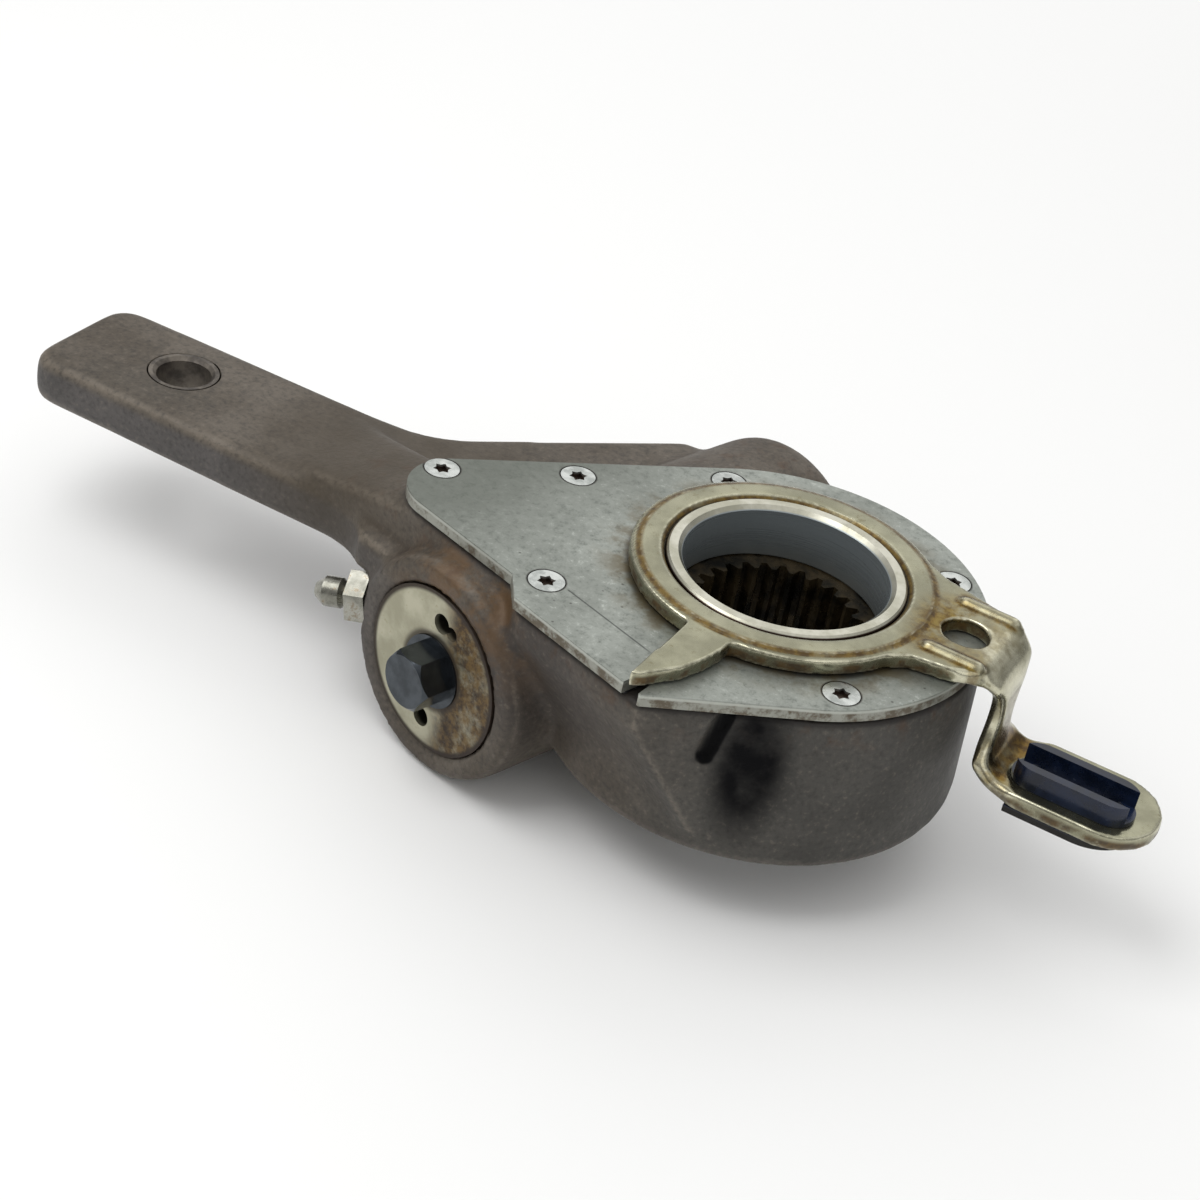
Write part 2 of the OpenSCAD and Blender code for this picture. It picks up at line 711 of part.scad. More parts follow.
module control_arm() {
    color("#a8a48a") difference() {
        union() {
            translate([0, 0, sheet_z]) cylinder(r = ring_r, h = sheet_t);
            translate([0, 0, sheet_z]) cylinder(r = band_r, h = sheet_t + band_h);
            translate([0, 0, sheet_z]) linear_extrude(height = sheet_t) pointer_plan();
            intersection() {
                translate([0, anchor_span, 0]) rotate([90, 0, 0]) linear_extrude(height = 2 * anchor_span) sheet_profile();
                linear_extrude(height = 2 * sheet_top) anchor_plan();
            }
            for (s = [-1, 1]) rib(hole_y + s * rib_y);
        }
        translate([0, 0, sheet_z - eps]) cylinder(r = ring_bore_r, h = sheet_t + band_h + 2 * eps);
        translate([0, 0, sheet_top + band_h - band_bevel])
            cylinder(r1 = ring_bore_r, r2 = ring_bore_r + band_bevel + press, h = band_bevel + press);
        translate([anchor_hole_x, hole_y, sheet_z - eps]) cylinder(r = anchor_hole_r, h = sheet_t + 2 * eps);
        translate([0, 0, foot_z - sheet_t - eps]) linear_extrude(height = sheet_t + 2 * eps) slot_plan(slot_w / 2);
        waist_cut();
    }
}

// Plan of the liner's flange under the foot.
module flange_plan() {
    r = foot_r - liner_flange_inset;
    x0 = slot_x[0] + liner_t;
    x1 = foot_end_x - foot_r - 3;
    translate([x1, anchor_y]) circle(r = r);
    translate([x0, anchor_y - r]) square([x1 - x0, 2 * r]);
}

// Liner that snaps into the slot: flange below, a thicker rim above, and open ends over the foot.
module slot_liner() {
    low = foot_z - sheet_t - press - liner_flange_t;
    top = foot_z + liner_rise;
    channel = slot_w / 2 - liner_t;
    color("#151a26") difference() {
        union() {
            translate([0, 0, low]) linear_extrude(height = top - 1 - low) slot_plan(slot_w / 2 - press);
            translate([0, 0, low]) linear_extrude(height = liner_flange_t) flange_plan();
            translate([0, 0, foot_z + press]) linear_extrude(height = liner_rise - press) slot_plan(slot_w / 2 + liner_lip);
        }
        translate([0, 0, low - eps]) linear_extrude(height = top - low + 2 * eps) slot_plan(channel);
        translate([slot_x[0] - 2, slot_y - channel + press, foot_z + 1])
            cube([slot_x[1] - slot_x[0] + 4, 2 * channel - 2 * press, liner_rise]);
    }
}

module control_hub() {
    low = wheel_top + gap;
    color("#b7b8b6") rotate_extrude()
        polygon([[hub_bore_r, low], [control_hub_r, low], [control_hub_r, control_hub_top - 0.6],
                 [control_hub_r - 0.6, control_hub_top], [hub_bore_r + rim_chamfer, control_hub_top],
                 [hub_bore_r, control_hub_top - rim_chamfer]]);
}

// Disc pressed on the control hub; its notch carries the rack's pin.
module control_disc() {
    half = rack_pin_r + pin_play;
    inner = rack_d - rack_pin_r - 2 * gap;
    color("#8d8a84") difference() {
        translate([0, 0, disc_z]) ring(disc_r, ring_bore_r, disc_top - disc_z);
        skewed() translate([-half, -disc_r - eps, disc_z - eps])
            cube([2 * half, disc_r + eps - inner, disc_top - disc_z + 2 * eps]);
    }
}

// Bar with a toothed underside and a pin that stands in the control disc's notch.
module rack() {
    half_tip = rack_pitch / 4 - 0.9 * pinion_m * tan(pressure) - rack_play;
    half_root = rack_pitch / 4 + 1.15 * pinion_m * tan(pressure) - rack_play;
    teeth = [for (i = [0:rack_teeth - 1])
        let (c = -worm_offset + (i - (rack_teeth - 1) / 2) * rack_pitch)
        each [[c - half_root, rack_root_z], [c - half_tip, rack_tip_z],
              [c + half_tip, rack_tip_z], [c + half_root, rack_root_z]]];
    color("#8d8a84") skewed() {
        translate([0, rack_w / 2 - rack_d, 0]) rotate([90, 0, 0]) linear_extrude(height = rack_w)
            polygon(concat([[rack_tail, rack_top], [rack_tail, rack_root_z]], teeth,
                           [[rack_nose, rack_root_z], [rack_nose, rack_top]]));
        translate([0, -rack_d, rack_root_z + eps]) cylinder(r = rack_pin_r, h = pin_top - rack_root_z - eps);
    }
}

module pinion_outline() {
    radii = [for (h = [-1.15, -0.4, 0, 0.45, 0.9]) pinion_pitch_r + h * pinion_m];
    half = [for (r = radii) tooth_half_angle(pinion_m, pinion_teeth, r) - turned(rack_play, r)];
    polygon([for (i = [0:pinion_teeth - 1]) let (c = 90 + 360 * i / pinion_teeth)
        each concat([for (k = [0:4]) polar(radii[k], c - half[k])],
                    [for (k = [4:-1:0]) polar(radii[k], c + half[k])])]);
}

module clutch_pinion() {
    low = clutch_near + gap;
    color("#77736c") difference() {
        union() {
            on_shaft(pinion_far) linear_extrude(height = pinion_w) pinion_outline();
            on_shaft(low) cylinder(r = pinion_hub_r, h = pinion_far - low + eps);
        }
        on_shaft(low - eps) cylinder(r = shaft_r + running, h = pinion_near - low + 2 * eps);
    }
}

// Wrap spring that bridges the hubs of the clutch ring and the pinion.
module one_way_spring() {
    low = clutch_far + clutch_flange_t + gap;
    room = pinion_far - gap - low;
    color("#4c4a48") on_shaft(low + wrap_wire_r) coil(wrap_mean_r, wrap_wire_r, 4, room - 2 * wrap_wire_r);
}

// Tooth gap of the worm wheel, in the plane square to its lead.
module wheel_gap() {
    radii = [wheel_root_r, base_r(gear_m, wheel_teeth) + press, wheel_pitch_r, wheel_pitch_r + gear_m / 2,
             wheel_tip_r + eps];
    half = [for (r = radii) 180 / wheel_teeth - tooth_half_angle(gear_m, wheel_teeth, r) + turned(flank_play, r)];
    polygon(concat([for (k = [0:4]) polar(radii[k], -half[k])], [for (k = [4:-1:0]) polar(radii[k], half[k])]));
}

module spline_outline() {
    pitch = 180 * (spline_root_r + spline_tip_r) / 2 / spline_n * PI / 180;
    half_root = pitch / 2 - (spline_root_r - spline_tip_r) / 2 * tan(pressure);
    half_tip = pitch / 2 + (spline_root_r - spline_tip_r) / 2 * tan(pressure);
    circle(r = spline_tip_r);
    for (i = [0:spline_n - 1]) rotate(360 * i / spline_n)
        polygon([[spline_tip_r - eps, -half_tip], [spline_tip_r, -half_tip], [spline_root_r, -half_root],
                 [spline_root_r, half_root], [spline_tip_r, half_tip], [spline_tip_r - eps, half_tip]]);
}

module worm_wheel() {
    color("#4a463f") skewed() difference() {
        union() {
            translate([0, 0, wheel_low]) cylinder(r = wheel_tip_r, h = wheel_face);
            translate([0, 0, wheel_low]) cylinder(r = wheel_sleeve_r, h = wheel_top - wheel_low);
            cylinder(r = wheel_foot_r, h = wheel_low + eps);
        }
        for (i = [0:wheel_teeth - 1])
            rotate([0, 0, 360 * i / wheel_teeth]) translate([0, 0, worm_z]) rotate([-lead_angle, 0, 0])
                translate([0, 0, -wheel_face]) linear_extrude(height = 2 * wheel_face) wheel_gap();
        translate([0, 0, -eps]) linear_extrude(height = wheel_top + 2 * eps) spline_outline();
    }
}

module adjuster_shaft() {
    hex_r = hex_af / 2 / cos(30);
    end = plug_inner - plug_bearing + gap;
    color("#3d4048") {
        on_shaft(end) cylinder(r = shaft_r, h = collar_inner - end + eps);
        on_shaft(collar_inner) cylinder(r = collar_r, h = boss_near + collar_proud - collar_inner);
        on_shaft(boss_near) rotate([0, 0, hex_turn]) intersection() {
            cylinder(r = hex_r, h = hex_l, $fn = 6);
            cylinder(r1 = hex_r + hex_l - hex_chamfer, r2 = hex_r - hex_chamfer, h = hex_l);
        }
    }
}

// Cross-section of the single-start thread: half its width at each radius, as an angle about the axis.
module thread_section() {
    radii = [for (k = [0:5]) worm_root_r + (worm_tip_r - worm_root_r) * k / 5];
    half = [for (r = radii) (worm_pitch / 4 - (r - worm_pitch_r) * tan(pressure) - flank_play) / worm_pitch * 360];
    crest = arc([0, 0], worm_tip_r, -half[5], half[5], 8);
    root = arc([0, 0], worm_root_r, half[0], 360 - half[0], 5);
    polygon(concat(crest, [for (k = [4:-1:1]) polar(radii[k], half[k])], root,
                   [for (k = [1:4]) polar(radii[k], -half[k])]));
}

module worm() {
    color("#6a6660") on_shaft(-worm_l / 2) difference() {
        rotate([0, 0, -worm_turn / 2])
            linear_extrude(height = worm_l, twist = -worm_turn, slices = ceil(worm_turn / 18)) thread_section();
        translate([0, 0, -eps]) cylinder(r = shaft_r + press, h = worm_l + 2 * eps);
    }
}

// Ring keyed to the worm's end, with a notched flange and a hub for the wrap spring.
module clutch_ring() {
    color("#77736c") on_shaft(clutch_far) difference() {
        union() {
            cylinder(r = clutch_r, h = clutch_flange_t);
            cylinder(r = pinion_hub_r - 0.2, h = clutch_near - clutch_far);
        }
        translate([0, 0, -eps]) cylinder(r = shaft_r + press, h = clutch_near - clutch_far + 2 * eps);
        for (t = [0:20:340])
            rotate([0, 0, t]) translate([clutch_r - 1, -0.8, -eps]) cube([2, 1.6, clutch_flange_t + 2 * eps]);
    }
}

module thrust_washer() {
    color("#8d8a84") on_shaft(-worm_l / 2 - press - washer_t) ring(spring_mean_r + spring_wire_r, shaft_r + press, washer_t);
}

module pinion_washer() {
    color("#8d8a84") on_shaft(pinion_near + gap) ring(clutch_r, shaft_r + press, washer_t);
}

housing();
clevis_bush();
cover_plate();
cover_gasket();
cover_screws();
hub_seal();
wheel_seal();
worm_cover();
adjuster_seal();
rear_plug();
worm_spring();
grease_nipple();
nipple_ball();
control_arm();
slot_liner();
control_hub();
control_disc();
rack();
clutch_pinion();
one_way_spring();
worm_wheel();
adjuster_shaft();
worm();
clutch_ring();
thrust_washer();
pinion_washer();
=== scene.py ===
# %% [markdown]
# # A used brake slack adjuster
# The CAD frame gives every piece its place and size. This lesson adds what the photograph shows on top:
# a cast skin with soft fillets, worn plating, rust, stains and grease, then a studio and the photo's camera.

# %%
import json
import math

import bpy
import numpy as np
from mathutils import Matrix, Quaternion, Vector

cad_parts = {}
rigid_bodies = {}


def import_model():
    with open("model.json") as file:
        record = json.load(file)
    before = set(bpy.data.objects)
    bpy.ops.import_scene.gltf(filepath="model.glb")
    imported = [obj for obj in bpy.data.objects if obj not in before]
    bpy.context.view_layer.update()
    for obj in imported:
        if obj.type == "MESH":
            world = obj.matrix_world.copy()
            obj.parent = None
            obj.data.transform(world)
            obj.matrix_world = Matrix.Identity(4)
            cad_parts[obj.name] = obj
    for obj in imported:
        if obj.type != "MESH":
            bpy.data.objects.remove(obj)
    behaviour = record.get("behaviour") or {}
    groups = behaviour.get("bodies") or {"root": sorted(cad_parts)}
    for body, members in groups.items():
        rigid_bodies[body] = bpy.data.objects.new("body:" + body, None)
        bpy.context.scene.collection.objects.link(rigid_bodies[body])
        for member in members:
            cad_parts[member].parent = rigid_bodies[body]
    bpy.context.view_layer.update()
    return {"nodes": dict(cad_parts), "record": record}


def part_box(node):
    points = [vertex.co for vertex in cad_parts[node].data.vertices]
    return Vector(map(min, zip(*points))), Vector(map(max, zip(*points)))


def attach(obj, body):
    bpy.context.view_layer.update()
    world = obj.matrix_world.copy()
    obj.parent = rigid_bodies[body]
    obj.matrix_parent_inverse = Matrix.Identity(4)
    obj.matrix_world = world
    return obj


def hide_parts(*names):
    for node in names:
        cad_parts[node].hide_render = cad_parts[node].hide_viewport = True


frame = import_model()
nodes = frame["nodes"]
print("pieces from the frame:", len(nodes))

# %% [markdown]
# ## Places on the object
# The worm side is turned by 18 degrees about the spline axis. Its plan has `a` along the cover plate, away
# from the arm, and `d` towards the adjuster hexagon. All lengths are in metres.

# %%
MM = 0.001
SKEW = math.radians(18)
ALONG = np.array([math.cos(SKEW), -math.sin(SKEW), 0.0])
TO_HEX = np.array([-math.sin(SKEW), -math.cos(SKEW), 0.0])
UP = np.array([0.0, 0.0, 1.0])
TO_FOOT = np.array([1.0, 0.0, 0.0])
ACROSS = np.array([0.0, 1.0, 0.0])
AXIS = np.zeros(3)

HUB_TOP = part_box("cover_gasket")[0][2]
WORM_Z = (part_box("worm_cover")[0][2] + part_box("worm_cover")[1][2]) / 2
WORM_A = -42.2 * MM
BOSS_NEAR = 55 * MM
WORM_POINT = WORM_A * ALONG + WORM_Z * UP
CLEVIS = np.array([*(np.array(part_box("clevis_bush")[0]) + np.array(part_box("clevis_bush")[1]))[:2] / 2, 0.0])
FLOOR_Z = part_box("housing")[0][2]
ARM_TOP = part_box("clevis_bush")[1][2]
PLATE_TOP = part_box("cover_plate")[1][2]

# The groove that was cut into the hub's side, with the oily stain beside it.
GROOVE = np.array([9.4, -45.7, 31.0]) * MM
GROOVE_LINE = np.array([0.203, 0.139, 0.969])
GROOVE_END = GROOVE - 5.2 * MM * GROOVE_LINE
GROOVE_R = (1.6 * MM, 2.3 * MM)
STAIN = np.array([16.5, -42.5, 25.5]) * MM

# Darker and rustier places on the casting: painted shade on the wall below the wing, rust on the boss's
# shoulder, a darker patch mid-arm.
SHADED_WING_WALL = -14 * MM * ALONG + 50 * MM * TO_HEX + 24 * MM * UP
BOSS_SHOULDER = 0.9 * WORM_A * ALONG + 46 * MM * TO_HEX + 26 * MM * UP
MID_ARM = -95 * MM * TO_FOOT + ARM_TOP * UP

# The control arm's sheet, its ribs, and where rust gathers on it.
SHEET_TOP = 44.0 * MM
RIB_Y = (-5.7 * MM, 14.7 * MM)
RING_ROOT = np.array([34.5, 4.0, 44.0]) * MM
ARM_FLAT = np.array([42.0, 4.0, 44.0]) * MM

# The cover plate's scribed line and its screws: three on its wing and three round the hub.
SCRIBE_D = 42.7 * MM
SCREW_CIRCLE = 38.2 * MM
SCREWS = [a * MM * ALONG + d * MM * TO_HEX for a, d in ((-67.7, 36.1), (-51.5, 11.3), (-24.6, 44.4))]
for turn in (207.7, 299.0, 28.7):
    turn = math.radians(turn)
    SCREWS.append(SCREW_CIRCLE * (math.cos(turn) * ALONG + math.sin(turn) * TO_HEX))
print("hub top", round(HUB_TOP, 4), "worm axis height", round(WORM_Z, 4), "floor", round(FLOOR_Z, 4))

# %% [markdown]
# ## Colours and shader nodes
# Colours are written as they look on screen and turned to linear light here. `add` makes one shader node.
# A `Paint` is a material in the making: measures say where a point is or how cloudy it is there, limits on
# them make masks, and colours are laid over each other through the masks.

# %%
RISE = (0.0, 1.0)
FALL = (1.0, 0.0)
WIDE = (0.3, 0.7)
SOFT = (0.35, 0.65)
EVEN = (0.4, 0.6)
IN_PLAN = (1, 1, 0)


def linear(code):
    """A colour such as "#6a635a" as linear light, with full cover."""
    parts = [int(code[i:i + 2], 16) / 255 for i in (1, 3, 5)]
    return [c / 12.92 if c <= 0.04045 else ((c + 0.055) / 1.055) ** 2.4 for c in parts] + [1.0]


def add(tree, kind, inputs=None, output=0, **settings):
    """One shader node, by its output. An input is a constant, a colour code or another node's output."""
    node = tree.nodes.new(kind)
    for name, value in settings.items():
        setattr(node, name, value)
    for name, value in (inputs or {}).items():
        if isinstance(value, bpy.types.NodeSocket):
            tree.links.new(value, node.inputs[name])
        else:
            node.inputs[name].default_value = linear(value) if isinstance(value, str) else value
    return node.outputs[output] if node.outputs else None


class Paint:
    """A material in the making: a tone that colours are laid over."""

    def __init__(self, name, tone=None):
        self.material = bpy.data.materials.new(name)
        self.material.use_nodes = True
        self.tree = self.material.node_tree
        self.tree.nodes.clear()
        self.place = add(self.tree, "ShaderNodeTexCoord", output="Object")
        self.tone = tone

    def cloud(self, size_mm, detail=5.0, rough=0.6, stretch=(1, 1, 1)):
        """A cloudy measure from 0 to 1 whose blotches are about size_mm across."""
        scale = [share / (size_mm * MM) for share in stretch]
        spread = add(self.tree, "ShaderNodeVectorMath", {0: self.place, 1: scale}, operation="MULTIPLY")
        values = {"Vector": spread, "Scale": 1.0, "Detail": detail, "Roughness": rough}
        return add(self.tree, "ShaderNodeTexNoise", values, "Fac")

    def beyond(self, direction, start=0.0):
        """How far a point lies along a direction, past a start."""
        inputs = {0: self.place, 1: tuple(direction)}
        reach = add(self.tree, "ShaderNodeVectorMath", inputs, "Value", operation="DOT_PRODUCT")
        return add(self.tree, "ShaderNodeMath", {0: reach, 1: start}, operation="SUBTRACT")

    def from_point(self, point, stretch=(1, 1, 1)):
        """Distance from a point, with the axes stretched first."""
        moved = add(self.tree, "ShaderNodeVectorMath", {0: self.place, 1: tuple(point)}, operation="SUBTRACT")
        scaled = add(self.tree, "ShaderNodeVectorMath", {0: moved, 1: stretch}, operation="MULTIPLY")
        return add(self.tree, "ShaderNodeVectorMath", {0: scaled}, "Value", operation="LENGTH")

    def from_line(self, point, direction):
        """Distance from a straight line: the length of a cross product with its unit direction."""
        moved = add(self.tree, "ShaderNodeVectorMath", {0: self.place, 1: tuple(point)}, operation="SUBTRACT")
        inputs = {0: moved, 1: tuple(direction)}
        turned = add(self.tree, "ShaderNodeVectorMath", inputs, operation="CROSS_PRODUCT")
        return add(self.tree, "ShaderNodeVectorMath", {0: turned}, "Value", operation="LENGTH")

    def where(self, *limits):
        """A mask where all limits hold. A limit is a mask, or a measure, its two ends and the values there."""
        share = None
        for limit in limits:
            if isinstance(limit, tuple):
                measure, low, high, ends = (*limit, RISE)[:4]
                step = {"Value": measure, "From Min": low, "From Max": high}
                step.update({"To Min": ends[0], "To Max": ends[1]})
                limit = add(self.tree, "ShaderNodeMapRange", step, interpolation_type="SMOOTHSTEP")
            if share is None:
                share = limit
            else:
                share = add(self.tree, "ShaderNodeMath", {0: share, 1: limit}, operation="MULTIPLY")
        return share

    def any_of(self, first, *others):
        """A mask where at least one of several masks holds."""
        for other in others:
            first = add(self.tree, "ShaderNodeMath", {0: first, 1: other}, operation="MAXIMUM")
        return first

    def tones(self, limit, low_tone, high_tone):
        """Two tones that change over at a limit."""
        inputs = {0: self.where(limit), 6: low_tone, 7: high_tone}
        return add(self.tree, "ShaderNodeMix", inputs, 2, data_type="RGBA")

    def lay(self, colour, *limits):
        """Lays a colour, or two tones, over the tone so far where all limits hold."""
        inputs = {0: self.where(*limits), 6: self.tone, 7: colour}
        self.tone = add(self.tree, "ShaderNodeMix", inputs, 2, data_type="RGBA")

    def finish(self, metallic, rough, height=None, depth_mm=0.1, mirror=0.5):
        """Joins tone, roughness, the strength of plain reflections and a height to the surface."""
        inputs = {"Base Color": self.tone, "Metallic": metallic, "Roughness": rough}
        inputs["Specular IOR Level"] = mirror
        if height is not None:
            bump = {"Strength": 1.0, "Distance": depth_mm * MM, "Height": height}
            inputs["Normal"] = add(self.tree, "ShaderNodeBump", bump)
        surface = add(self.tree, "ShaderNodeBsdfPrincipled", inputs)
        add(self.tree, "ShaderNodeOutputMaterial", {"Surface": surface})
        return self.material


print("colour check, mid grey:", [round(c, 3) for c in linear("#808080")])

# %% [markdown]
# ## The cast body
# A casting has no sharp inner corners. The CAD body is rebuilt as an even mesh of about one millimetre and
# relaxed, which rounds every join, while the machined faces and bores are held where they are.

# %%
WALL_REACH = 0.75 * MM
WALL_CLEAR = 0.12 * MM
LIP_REACH = 0.9 * MM


def even_mesh(node, name, voxel):
    """A copy of a CAD node with evenly spread vertices."""
    thing = bpy.data.objects.new(name, nodes[node].data.copy())
    bpy.context.scene.collection.objects.link(thing)
    remesh = thing.modifiers.new("even", "REMESH")
    remesh.mode = "VOXEL"
    remesh.voxel_size = voxel
    bpy.context.view_layer.update()
    made = bpy.data.meshes.new_from_object(thing.evaluated_get(bpy.context.evaluated_depsgraph_get()))
    thing.modifiers.clear()
    thing.data = made
    return thing


def points_of(thing):
    """The vertices of a mesh as an array."""
    spots = np.empty(len(thing.data.vertices) * 3)
    thing.data.vertices.foreach_get("co", spots)
    return spots.reshape(-1, 3)


def edges_of(thing):
    """Pairs of joined vertices."""
    pairs = np.empty(len(thing.data.edges) * 2, dtype=np.int64)
    thing.data.edges.foreach_get("vertices", pairs)
    return pairs.reshape(-1, 2)


def relax(spots, pairs, weight, rounds):
    """Moves each vertex half-way to the mean of its neighbours in each round, as far as its weight allows."""
    count = np.bincount(pairs.ravel(), minlength=len(spots))[:, None]
    for _ in range(rounds):
        total = np.zeros_like(spots)
        np.add.at(total, pairs[:, 0], spots[pairs[:, 1]])
        np.add.at(total, pairs[:, 1], spots[pairs[:, 0]])
        spots = spots + 0.5 * weight[:, None] * (total / count - spots)
    return spots


def hold_bore(spots, weight, point, axis, radius, low, high, mouth=None):
    """Puts a bore's wall just outside its radius and its mouth level with the face, and holds both."""
    rel = spots - point
    along = rel @ axis
    across = rel - np.outer(along, axis)
    dist = np.linalg.norm(across, axis=1)
    wall = (np.abs(dist - radius) < WALL_REACH) & (along > low) & (along < high)
    spots[wall] += across[wall] * ((radius + WALL_CLEAR) / dist[wall] - 1)[:, None]
    if mouth is not None:
        lip = wall & (np.abs(along - mouth) < LIP_REACH)
        spots[lip] += np.outer(mouth - along[lip], axis)
    weight[wall] = 0


def settle(thing, spots, relaxed, full):
    """Moves the vertices and keeps how far: inwards on an edge is worn, outwards in a corner is hollow."""
    thing.data.vertices.foreach_set("co", relaxed.ravel())
    thing.data.update()
    normals = np.empty(len(spots) * 3)
    thing.data.vertex_normals.foreach_get("vector", normals)
    inward = -np.sum((relaxed - spots) * normals.reshape(-1, 3), axis=1) / full
    for name, share in (("worn", inward), ("hollow", -inward)):
        mark = thing.data.attributes.new(name, "FLOAT", "POINT")
        mark.data.foreach_set("value", np.clip(share, 0, 1))
    thing.data.shade_smooth()


BODY_VOXEL = 1.0 * MM
BODY_ROUNDS = 14
BODY_FULL_WEAR = 0.7 * MM
HUB_INSIDE_R = 36 * MM
HUB_INSIDE_Z = 1.2 * MM
BOSS_FACE_R = 24 * MM
BOSS_INSIDE_R = 18.5 * MM
GROOVE_HOLD_R = 3.6 * MM
CLEVIS_R = 8.4 * MM
HUB_BORE_R = 23.95 * MM
COVER_BORE_R = 19.12 * MM
PLUG_BORE_R = 17.96 * MM

body = even_mesh("housing", "cast_body", BODY_VOXEL)
spots = points_of(body)
weight = np.ones(len(spots))
to_hex = spots @ TO_HEX
from_worm = np.hypot(spots @ ALONG - WORM_A, spots[:, 2] - WORM_Z)
from_spline = np.hypot(spots[:, 0], spots[:, 1])
weight[spots[:, 2] > HUB_TOP - 0.8 * MM] = 0
weight[(to_hex > BOSS_NEAR - 0.7 * MM) & (from_worm < BOSS_FACE_R)] = 0
weight[(from_spline < HUB_INSIDE_R) & (spots[:, 2] > HUB_INSIDE_Z)] = 0
weight[from_worm < BOSS_INSIDE_R] = 0
weight[np.linalg.norm((spots - GROOVE) * (1, 1, 0.4), axis=1) < GROOVE_HOLD_R] = 0
hold_bore(spots, weight, CLEVIS, UP, CLEVIS_R, 13 * MM, 27 * MM, ARM_TOP)
hold_bore(spots, weight, AXIS, UP, HUB_BORE_R, -1 * MM, 3 * MM)
hold_bore(spots, weight, WORM_POINT, TO_HEX, COVER_BORE_R, 45 * MM, 54.6 * MM)
hold_bore(spots, weight, WORM_POINT, TO_HEX, PLUG_BORE_R, -53.5 * MM, -44 * MM)
settle(body, spots, relax(spots, edges_of(body), weight, BODY_ROUNDS), BODY_FULL_WEAR)
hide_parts("housing")
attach(body, "body")
print("cast body:", len(body.data.polygons), "faces")

# %% [markdown]
# ## The cast body's skin
# Brown-grey iron with cloudy tone, rust where water stood, an oily black stain below the wing and a darker
# round end.

# %%
# The grit of a casting is finer than 1.2 mm, and is drawn that coarse so that it shows.
paint = Paint("cast steel, oiled and rusted")
clouds = paint.cloud(18)
grit = paint.cloud(1.2, 3.0)
worn = add(paint.tree, "ShaderNodeAttribute", None, "Fac", attribute_name="worn")
hollow = add(paint.tree, "ShaderNodeAttribute", None, "Fac", attribute_name="hollow")
below_plate = paint.beyond(UP, HUB_TOP)
paint.tone = paint.tones((clouds, *WIDE), "#4f473d", "#61594f")
paint.lay("#453f37", (paint.cloud(4, 5.0, 0.7), 0.45, 0.75, (0.0, 0.5)))
paint.lay("#403b33", (paint.cloud(28, 3.0, 0.5), 0.5, 0.68, (0.0, 0.45)))

# Painted shade on the arm's flank, which is also greyer, and on the wall below the wing; the round end is
# darker.
grey_and_shaded_flank = paint.where((paint.beyond(UP, ARM_TOP), -3.5 * MM, -1.2 * MM, FALL),
                    (paint.beyond(-TO_FOOT), 60 * MM, 90 * MM))
paint.lay(paint.tones((clouds, *WIDE), "#484543", "#54504e"), grey_and_shaded_flank)
round_end = paint.where((paint.beyond(ALONG), -10 * MM, 30 * MM, (0.0, 0.85)))
paint.lay(paint.tones((clouds, *WIDE), "#373633", "#43423e"), round_end)
# Painted shade on the wall below the plate's wing.
paint.lay("#3f3935", (paint.from_point(SHADED_WING_WALL), 8 * MM, 26 * MM, (0.8, 0.0)))

# Edges are rubbed pale with a painted highlight, corners are darker, and grit covers all.
paint.lay("#8a8073", (worn, 0.25, 0.9, (0.0, 0.5)))
paint.lay("#33291f", (hollow, 0.1, 0.8, (0.0, 0.5)))
paint.lay("#2b2825", (grit, 0.45, 0.75, (0.0, 0.55)))
paint.lay("#7b7266", (grit, 0.25, 0.45, (0.3, 0.0)))
paint.lay("#443b2e", (paint.from_point(MID_ARM), 12 * MM, 42 * MM, (0.7, 0.0)))

# Rust on the boss's shoulder and under the plate, and painted shadow in a dark seam where the plate lies on.
paint.lay("#5f4526", (paint.cloud(9, 6.0, 0.68), 0.4, 0.58),
          (paint.from_point(BOSS_SHOULDER), 8 * MM, 26 * MM, (0.8, 0.0)))
paint.lay("#4a3320", (paint.cloud(5), 0.5, 0.7), (below_plate, -10 * MM, -1 * MM, (0.0, 0.55)))
paint.lay("#201c19", (below_plate, -1.8 * MM, -0.4 * MM, (0.0, 0.8)))

# The oily stain and the groove beside it reflect less than bare iron; the groove's near black is oil and
# painted shade.
stain = paint.where((paint.from_point(STAIN, (1.0, 1.0, 0.45)), 4 * MM, 11 * MM, FALL),
                    (paint.cloud(8, 4.0), 0.3, 0.6, (0.82, 1.0)))
paint.lay("#09090b", stain)
scoop = paint.where((paint.from_line(GROOVE, GROOVE_LINE), *GROOVE_R, FALL),
                    (paint.beyond(UP, GROOVE_END[2]), -0.2 * MM, 0.2 * MM))
scoop = paint.any_of(scoop, paint.where((paint.from_point(GROOVE_END), *GROOVE_R, FALL)))
paint.lay("#09090a", scoop)
soaked = paint.any_of(stain, scoop)
dry_rough = paint.where((clouds, *WIDE, (0.62, 0.52)))
rough = add(paint.tree, "ShaderNodeMath", {0: stain, 1: -0.2, 2: dry_rough}, operation="MULTIPLY_ADD")
mirror = add(paint.tree, "ShaderNodeMath", {0: soaked, 1: -0.4, 2: 0.45}, operation="MULTIPLY_ADD")
metallic = add(paint.tree, "ShaderNodeMath", {0: soaked, 1: -0.2, 2: 0.2}, operation="MULTIPLY_ADD")
skin = add(paint.tree, "ShaderNodeMath", {0: grit, 1: paint.cloud(5, 3.0, 0.5)}, operation="ADD")
body.data.materials.clear()
body.data.materials.append(paint.finish(metallic, rough, skin, 0.12, mirror))
print("skin:", body.data.materials[0].name)

# %% [markdown]
# ## The pressed control arm
# Pressed sheet has rolled edges and bends that flow into each other. The CAD arm is rebuilt as an even mesh
# and relaxed: lightly on the ring and the foot, so that bores, ribs and slot stay, and strongly where it
# bends down.

